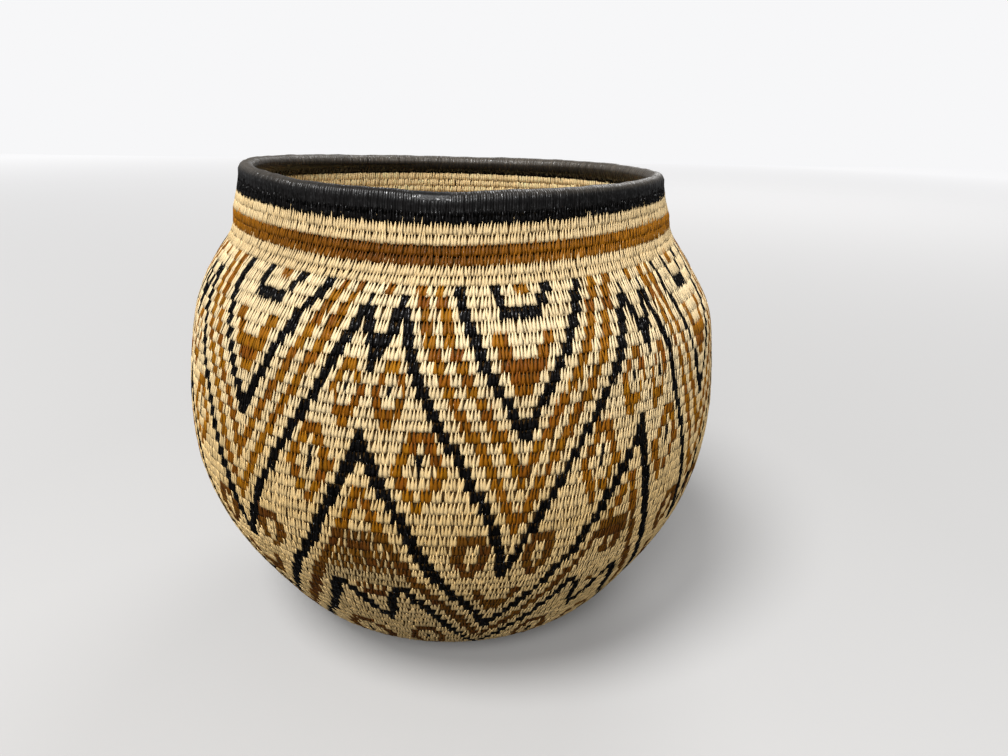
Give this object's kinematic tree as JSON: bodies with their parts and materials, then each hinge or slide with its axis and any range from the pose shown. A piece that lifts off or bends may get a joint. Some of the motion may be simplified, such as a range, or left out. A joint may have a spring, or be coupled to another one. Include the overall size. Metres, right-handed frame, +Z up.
{
  "type": "coiled basket",
  "caption": "Round coiled basket with a flat floor, a full belly, a drawn-in neck and a thick black rim, sewn in cream, brown and black fibre in a stepped zigzag pattern.",
  "frame": {"origin": "middle of the flat underside, where the basket stands", "axes": "+Z up through the mouth; -Y is the side that the picture shows; the coil starts and ends at the back, +Y"},
  "size_m": [0.2442, 0.2442, 0.2096],
  "materials": {
    "cream_fibre": "undyed palm fibre stitches, matte with a faint silky sheen along each strand",
    "brown_fibre": "brown dyed palm fibre stitches, matte with a faint sheen",
    "black_fibre": "black dyed palm fibre wrapped closely, waxy sheen",
    "mixed_fibre": "cream stitches with stepped figures in brown and black"
  },
  "bodies": {
    "root": {"start_knot": "cream_fibre", "floor_course_1": "cream_fibre", "floor_course_2": "cream_fibre", "floor_course_3": "cream_fibre", "wall_course_01": "mixed_fibre", "wall_course_02": "mixed_fibre", "wall_course_03": "mixed_fibre", "wall_course_04": "mixed_fibre", "wall_course_05": "mixed_fibre", "wall_course_06": "mixed_fibre", "wall_course_07": "mixed_fibre", "wall_course_08": "mixed_fibre", "wall_course_09": "mixed_fibre", "wall_course_10": "mixed_fibre", "wall_course_11": "mixed_fibre", "wall_course_12": "mixed_fibre", "wall_course_13": "mixed_fibre", "wall_course_14": "mixed_fibre", "wall_course_15": "mixed_fibre", "wall_course_16": "mixed_fibre", "wall_course_17": "mixed_fibre", "neck_cream_band_lower": "cream_fibre", "neck_brown_band": "brown_fibre", "neck_cream_band_upper": "cream_fibre", "neck_black_round": "black_fibre", "rim_coil": "black_fibre"}
  },
  "joints": []
}
